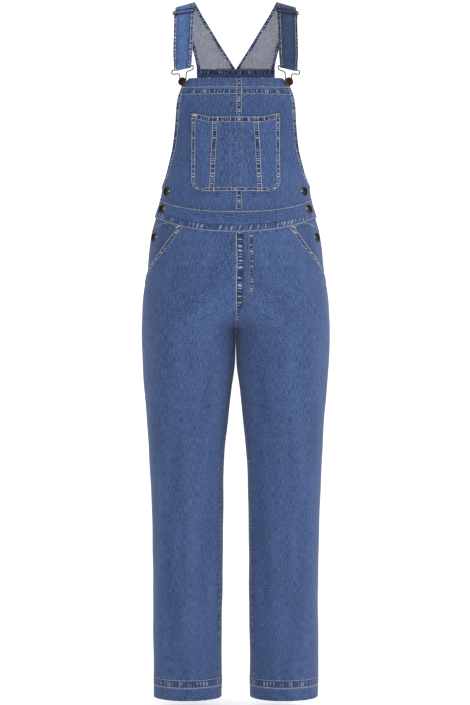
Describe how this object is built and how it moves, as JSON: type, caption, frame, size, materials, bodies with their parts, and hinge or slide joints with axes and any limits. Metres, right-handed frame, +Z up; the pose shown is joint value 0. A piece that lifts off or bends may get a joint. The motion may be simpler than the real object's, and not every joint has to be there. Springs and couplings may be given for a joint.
{
  "type": "denim bib overalls",
  "caption": "Full-length denim bib overalls, held open as worn, with a patch pocket on the bib, slant pockets, buttoned sides and straps on wire buckles.",
  "frame": {"origin": "between the shoulders, level with the underside of the straps where the wearer's shoulders carry them", "axes": "+Z up from hem to shoulders, -Y the way the front faces, +X the wearer's left"},
  "size_m": [0.3722, 0.2556, 1.3742],
  "materials": {
    "denim": "mid-blue washed cotton denim, matte twill, pale grey-blue on its inner side",
    "hardware": "antique brass, dark and softly worn",
    "buttons": "antique brass, stamped ring and dark centre"
  },
  "bodies": {
    "root": {"bib_left": "denim", "bib_right": "denim", "chest_pocket_left": "denim", "chest_pocket_centre": "denim", "chest_pocket_right": "denim", "waistband_front": "denim", "waistband_back": "denim", "leg_front_left": "denim", "leg_front_right": "denim", "leg_back_left": "denim", "leg_back_right": "denim", "pocket_facing_left": "denim", "pocket_facing_right": "denim", "button_stand_left": "denim", "button_stand_right": "denim", "back_left": "denim", "back_right": "denim", "back_band": "denim", "back_strap_left": "denim", "back_strap_right": "denim", "strap_left": "denim", "strap_right": "denim", "slide_left": "hardware", "slide_right": "hardware", "buckle_left": "hardware", "buckle_right": "hardware", "bib_button_left": "buttons", "bib_button_right": "buttons", "side_button_left_1": "buttons", "side_button_left_2": "buttons", "side_button_left_3": "buttons", "side_button_right_1": "buttons", "side_button_right_2": "buttons", "side_button_right_3": "buttons"}
  },
  "joints": []
}
